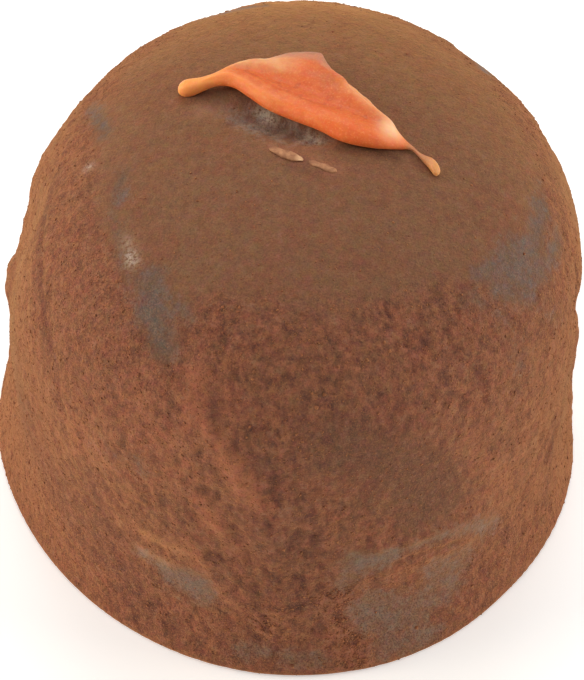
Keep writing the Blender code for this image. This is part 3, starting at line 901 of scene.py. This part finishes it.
def cocoa_material():
    s = Shading("cocoa_dusting")
    names = ("crust", "bare", "scar", "pit", "relief", "cluster", "marks", "smear", "glint", "streak", "shade", "smooth")
    crust, bare, scar, pit, relief, cluster, marks, smear, glint, streak, shade, smooth = map(s.mask, names)
    dusky, low, caked, ridge, painted_light = map(s.mask, ("dusky", "low", "caked", "ridge", "painted_light"))
    patchy = s.noise(1.8, detail=4.0, roughness=0.6)
    mottle = s.noise(0.5, detail=4.0, roughness=0.65)
    clots = s.noise(0.34, detail=3.0, roughness=0.6, stretch=(1, 1, 1.6))
    fine = s.noise(0.14, detail=2.0, roughness=0.6)
    grain = s.noise(0.07, detail=1.0, roughness=0.5)
    streaks = s.noise(0.2, detail=3.0, roughness=0.6, stretch=(1, 1, 5.0))
    rough = s.ramp(crust, 0.0, 1.0, 0.55, 1.0)
    grit = s.mask("gritty")
    color = s.mix(s.ramp(crust, 0.0, 1.0), CROWN_COCOA, WALL_COCOA)
    color = s.mix(s.mask("far_crown"), color, LIT_CROWN)
    color = s.mix(s.times(s.mask("low_wall"), 0.65), color, LOW_COCOA)
    color = s.mix(s.times(s.ramp(patchy, 0.45, 0.62, 0.0, 0.5), rough), color, RED_COCOA)
    color = s.mix(s.times(smooth, 0.6), color, SMOOTH_COCOA)
    color = s.mix(s.times(s.ramp(marks, 0.5, 0.2, 0.0, 0.6), crust), color, RED_COCOA)
    color = s.mix(s.times(s.ramp(streaks, 0.5, 0.36, 0.0, 0.4), crust), color, DARK_COCOA)
    color = s.mix(s.times(s.ramp(streaks, 0.5, 0.64, 0.0, 0.35), crust), color, PALE_COCOA)
    color = s.mix(s.times(s.ramp(clots, 0.5, 0.66, 0.0, 0.35), crust), color, RED_COCOA)
    color = s.mix(s.times(s.ramp(clots, 0.47, 0.34, 0.0, 0.25), crust), color, OCHRE_COCOA)
    specks = s.noise(0.36, detail=2.0, roughness=0.5, stretch=(1, 1, 1.5))
    color = s.mix(s.times(s.ramp(specks, 0.54, 0.68, 0.0, 0.5), caked), color, PIT_COCOA)
    color = s.mix(s.times(s.ramp(specks, 0.46, 0.32, 0.0, 0.45), caked), color, OCHRE_COCOA)
    color = s.mix(s.times(dusky, 0.4), color, PIT_COCOA)
    # Painted shade in the hollows and painted light on raised crust, along with the powder's own tone.
    color = s.mix(s.ramp(relief, 0.5, 0.15, 0.0, 0.6), color, DARK_COCOA)
    color = s.mix(s.ramp(relief, 0.5, 0.9, 0.0, 0.4), color, PALE_COCOA)
    color = s.mix(s.times(s.ramp(mottle, 0.52, 0.34, 0.0, 0.42), rough), color, DARK_COCOA)
    color = s.mix(s.times(s.ramp(mottle, 0.5, 0.68, 0.0, 0.35), rough), color, PALE_COCOA)
    color = s.mix(s.times(s.ramp(mottle, 0.32, 0.56, 0.4, 0.85), ridge), color, RIDGE_COCOA)
    # Painted light: the crown lightened where the curl's shadow falls.
    color = s.mix(s.times(painted_light, 0.7), color, PAINTED_LIGHT_COCOA)
    # Painted shade in the crust's pits.
    color = s.mix(s.times(pit, 0.55), color, PIT_COCOA)
    color = s.mix(s.times(s.ramp(mottle, 0.42, 0.58, 0.0, 0.9), cluster), color, OCHRE_COCOA)
    thin = s.noise(0.9, detail=5.0, roughness=0.68)
    rubbed = s.times(s.broken(bare, mottle, fine), s.ramp(thin, 0.38, 0.62, 0.62, 1.0))
    scraped = s.broken(scar, mottle, fine)
    chocolate = s.mix(s.ramp(patchy, 0.35, 0.65), BARE_CHOCOLATE, BLOOM_CHOCOLATE)
    chocolate = s.mix(s.ramp(low, 0.1, 0.5), chocolate, LOW_BLOOM)
    color = s.mix(s.times(rubbed, 0.78), color, chocolate)
    scraping = s.mix(s.ramp(mottle, 0.4, 0.6), SCAR_CHOCOLATE, SCAR_BLOOM)
    color = s.mix(s.times(scraped, 0.8), color, scraping)
    color = s.mix(s.times(smear, 0.65), color, SMEARED_ORANGE)
    color = s.mix(s.times(streak, 0.7), color, PALE_STREAK)
    color = s.mix(s.times(shade, 0.8), color, SHADED_CHOCOLATE)
    color = s.mix(s.times(s.ramp(fine, 0.5, 0.7, 0.0, 0.24), grit), color, PALE_COCOA)
    color = s.mix(s.times(s.ramp(fine, 0.5, 0.3, 0.0, 0.28), grit), color, DARK_COCOA)
    color = s.mix(s.times(s.ramp(grain, 0.5, 0.75, 0.0, 0.5), grit), color, PALE_COCOA)
    color = s.mix(s.times(s.ramp(grain, 0.5, 0.25, 0.0, 0.58), grit), color, PIT_COCOA)
    color = s.mix(s.times(s.times(glint, s.ramp(fine, 0.3, 0.6)), 0.9), color, GLINT)
    color = s.dapple(color, 0.42, 0.26, detail=4.0)
    color = s.dapple(color, 0.12, 0.10, detail=1.0)
    s.set("Base Color", color)
    open_chocolate = s.times(rubbed, s.times(scraped, 0.7), "MAXIMUM")
    s.set("Roughness", s.ramp(open_chocolate, 0.0, 1.0, 0.95, 0.62))
    s.set("Specular IOR Level", s.ramp(open_chocolate, 0.0, 1.0, 0.06, 0.25))
    s.set("Sheen Weight", s.ramp(s.times(open_chocolate, s.times(dusky, 0.75), "MAXIMUM"), 0.0, 1.0, 0.5, 0.1))
    s.set("Sheen Roughness", 0.4)
    s.set("Sheen Tint", DUST_SHEEN)
    grainy = s.bump(s.noise(0.11, detail=2.0, roughness=0.7), 0.035)
    s.set("Normal", s.bump(s.noise(0.3, detail=3.0, roughness=0.65), 0.07, under=grainy))
    return s.material


def grain_material():
    s = Shading("loose_cocoa")
    color = s.mix(s.mask("tone"), tone(104, 66, 50), tone(156, 102, 70))
    color = s.mix(s.ramp(s.noise(1.8), 0.4, 0.6, 0.0, 0.5), color, RED_COCOA)
    s.set("Base Color", color)
    s.set("Roughness", 0.95)
    s.set("Specular IOR Level", 0.08)
    s.set("Sheen Weight", 0.5)
    s.set("Sheen Roughness", 0.4)
    s.set("Sheen Tint", DUST_SHEEN)
    return s.material


def orange_material():
    s = Shading("candied_orange")
    names = ("valley", "crest_highlight", "rim", "film", "highlighted_tip", "tail", "club", "shaded_groove", "lit_face", "film_edge", "nub_tint_and_light", "hump")
    valley, crest_highlight, rim, film, highlighted_tip, tail, club, shaded_groove, lit_face, film_edge, nub_tint_and_light, hump = map(s.mask, names)
    blotch = s.noise(0.8, detail=4.0, roughness=0.6)
    specks = s.noise(0.45, detail=3.0, roughness=0.6)
    color = s.mix(s.ramp(blotch, 0.35, 0.65), tone(222, 102, 48), tone(232, 122, 62))
    # Painted light on the shaded front face.
    color = s.mix(s.times(lit_face, 0.6), color, tone(236, 113, 50))
    color = s.mix(s.times(valley, 0.7), color, tone(218, 102, 50))
    color = s.mix(s.times(hump, 0.75), color, tone(198, 104, 56))
    # Painted shade in the groove behind the back fold.
    color = s.mix(s.times(shaded_groove, 0.6), color, tone(200, 92, 46))
    color = s.mix(s.times(s.ramp(specks, 0.5, 0.66), s.ramp(valley, 0.2, 0.9, 0.15, 0.5)), color, tone(188, 78, 44))
    # Painted highlight along the upward-facing front ridge.
    color = s.mix(s.times(crest_highlight, 0.75), color, tone(246, 150, 84))
    # Nub and neck: their own paler orange, plus painted light on their shaded side.
    color = s.mix(s.times(nub_tint_and_light, 0.8), color, tone(255, 168, 92))
    color = s.mix(s.times(rim, s.ramp(blotch, 0.3, 0.6, 0.65, 0.95)), color, tone(238, 176, 124))
    # Painted highlight near the curl's end.
    color = s.mix(s.times(highlighted_tip, 0.9), color, tone(255, 206, 162))
    color = s.mix(s.times(film, 0.85), color, tone(204, 134, 104))
    color = s.mix(s.times(film_edge, s.ramp(blotch, 0.35, 0.65, 0.5, 0.9)), color, tone(164, 110, 84))
    color = s.mix(s.times(tail, 0.9), color, tone(188, 132, 94))
    color = s.mix(s.times(club, 0.9), color, tone(222, 156, 96))
    # Painted highlights: tiny pale specks over the orange.
    color = s.mix(s.ramp(s.noise(0.09, detail=2.0), 0.5, 0.7, 0.0, 0.18), color, tone(250, 190, 130))
    color = s.dapple(color, 0.25, 0.35)
    s.set("Base Color", color)
    s.set("Roughness", s.ramp(s.noise(0.3), 0.3, 0.7, 0.4, 0.6))
    s.set("Specular IOR Level", 0.3)
    s.set("Subsurface Weight", 0.4)
    s.set("Subsurface Radius", (1.0, 0.4, 0.15))
    s.set("Subsurface Scale", 0.5 * MM)
    s.set("Normal", s.bump(s.noise(0.2, detail=3.0, roughness=0.6), 0.02))
    return s.material


def sliver_material():
    s = Shading("dusty_orange")
    dusting = s.noise(0.3, detail=4.0, roughness=0.65)
    color = s.mix(s.ramp(s.noise(0.35, detail=3.0), 0.35, 0.7), tone(160, 110, 80), tone(190, 138, 100))
    color = s.mix(s.ramp(dusting, 0.48, 0.64, 0.0, 0.6), color, tone(146, 100, 74))
    color = s.mix(s.times(s.mask("edge"), s.ramp(dusting, 0.35, 0.6, 0.2, 0.8)), color, CROWN_COCOA)
    # Painted highlight on the first sliver's rounded end.
    color = s.mix(s.times(s.mask("end"), 0.8), color, tone(230, 184, 140))
    s.set("Base Color", color)
    s.set("Roughness", 0.7)
    s.set("Specular IOR Level", 0.2)
    s.set("Normal", s.bump(s.noise(0.12, detail=3.0), 0.03))
    return s.material


# Stage

FLOOR_COLOR = (0.93, 0.93, 0.92, 1.0)
VIEW_ELEVATION = 48.85
VIEW_DISTANCE = 170.9
VIEW_FIELD = 11.12              # the picture's height, in degrees
AIM_HEIGHT = 7.08               # where on the axis the camera looks
AIM_ASIDE = (0.39, 0.13)


def make_floor():
    bm = bmesh.new()
    bmesh.ops.create_grid(bm, x_segments=1, y_segments=1, size=3.0)
    mesh = bpy.data.meshes.new("floor")
    bm.to_mesh(mesh)
    bm.free()
    floor = bpy.data.objects.new("floor", mesh)
    bpy.context.scene.collection.objects.link(floor)
    s = Shading("pale_floor")
    s.set("Base Color", FLOOR_COLOR)
    s.set("Roughness", 0.9)
    s.set("Emission Color", (1.0, 1.0, 1.0, 1.0))
    s.set("Emission Strength", 0.35)
    mesh.materials.append(s.material)


def add_area_light(name, azimuth, elevation, distance, size, power, color=(1, 1, 1)):
    """A square soft light aimed at the truffle from a direction, in degrees and millimetres."""
    data = bpy.data.lights.new(name, "AREA")
    data.shape = "SQUARE"
    data.size = size * MM
    data.energy = power
    data.color = color
    light = bpy.data.objects.new(name, data)
    bpy.context.scene.collection.objects.link(light)
    turn, rise = math.radians(azimuth), math.radians(elevation)
    out = Vector((math.cos(rise) * math.cos(turn), math.cos(rise) * math.sin(turn), math.sin(rise)))
    light.location = Vector((0, 0, 10 * MM)) + out * distance * MM
    light.rotation_euler = out.to_track_quat("Z", "Y").to_euler()


def make_lights():
    world = bpy.data.worlds.new("studio")
    bpy.context.scene.world = world
    world.use_nodes = True
    background = world.node_tree.nodes["Background"]
    background.inputs["Color"].default_value = (1.0, 0.99, 0.97, 1.0)
    background.inputs["Strength"].default_value = 0.22
    add_area_light("back", azimuth=90, elevation=55, distance=500, size=320, power=1.05)
    add_area_light("top", azimuth=-90, elevation=66, distance=500, size=300, power=0.48)
    add_area_light("left", azimuth=180, elevation=16, distance=450, size=280, power=1.7, color=(1.0, 0.885, 0.75))
    add_area_light("right", azimuth=0, elevation=16, distance=450, size=280, power=1.26, color=(1.0, 0.92, 0.82))


def make_camera():
    data = bpy.data.cameras.new("camera")
    data.sensor_fit = "VERTICAL"
    data.angle = math.radians(VIEW_FIELD)
    data.clip_start = 0.01
    camera = bpy.data.objects.new("camera", data)
    bpy.context.scene.collection.objects.link(camera)
    rise = math.radians(VIEW_ELEVATION)
    out = Vector((0.0, -math.cos(rise), math.sin(rise)))
    camera.location = Vector((*AIM_ASIDE, AIM_HEIGHT)) * MM + out * VIEW_DISTANCE * MM
    camera.rotation_euler = out.to_track_quat("Z", "Y").to_euler()
    bpy.context.scene.camera = camera


def main():
    bpy.context.scene.view_settings.view_transform = "Standard"
    body = make_body(cocoa_material())
    make_loose_cocoa(body, grain_material())
    make_curl(orange_material())
    dusty = sliver_material()
    for number in (1, 2):
        make_sliver(number, dusty)
    make_floor()
    make_lights()
    make_camera()


main()
